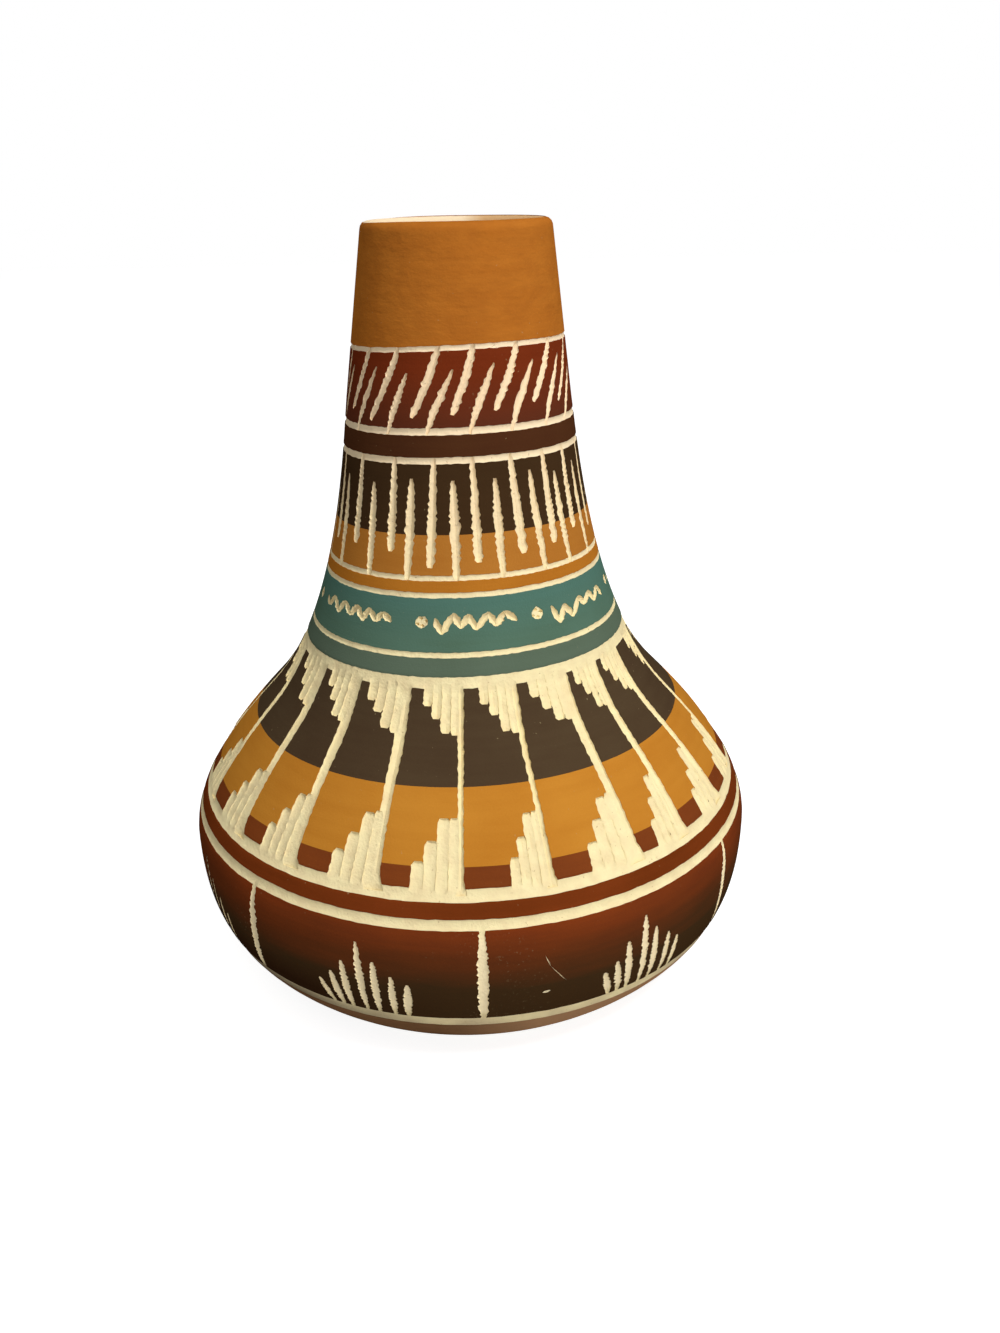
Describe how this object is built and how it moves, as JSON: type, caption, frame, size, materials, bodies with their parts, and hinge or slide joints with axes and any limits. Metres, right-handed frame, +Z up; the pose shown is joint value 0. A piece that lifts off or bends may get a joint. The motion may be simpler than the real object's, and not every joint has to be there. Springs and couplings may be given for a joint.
{
  "type": "etched pottery vase",
  "caption": "Bulb-shaped pottery vase with a tapering open neck, a flat foot, coloured slip bands and etched lines between them.",
  "frame": {"origin": "centre of the flat underside, on the surface that the vase stands on", "axes": "+Z up along the vase's axis, out of the mouth; -Y towards the viewer of the picture, +X to the viewer's right"},
  "size_m": [0.161, 0.161, 0.203],
  "materials": {
    "clay": "matte",
    "clear_glaze": "gloss",
    "tan_slip": "matte",
    "burnt_slip": "satin",
    "red_slip": "matte",
    "deep_red_slip": "matte",
    "ochre_slip": "matte",
    "dark_slip": "matte",
    "black_slip": "matte",
    "brown_slip": "matte",
    "teal_slip": "matte"
  },
  "bodies": {
    "root": {"clay_vessel": "clay", "inner_glaze": "clear_glaze", "foot_coat": "tan_slip", "belly_coat": "burnt_slip", "red_ring_coat": "red_slip", "red_shoulder_coat": "red_slip", "ochre_shoulder_coat": "ochre_slip", "dark_shoulder_coat": "dark_slip", "teal_ring_coat": "teal_slip", "teal_band_coat": "teal_slip", "ochre_ring_coat": "ochre_slip", "ochre_comb_coat": "ochre_slip", "black_comb_coat": "black_slip", "brown_ring_coat": "brown_slip", "red_hatch_coat": "deep_red_slip", "neck_coat": "ochre_slip"}
  },
  "joints": []
}
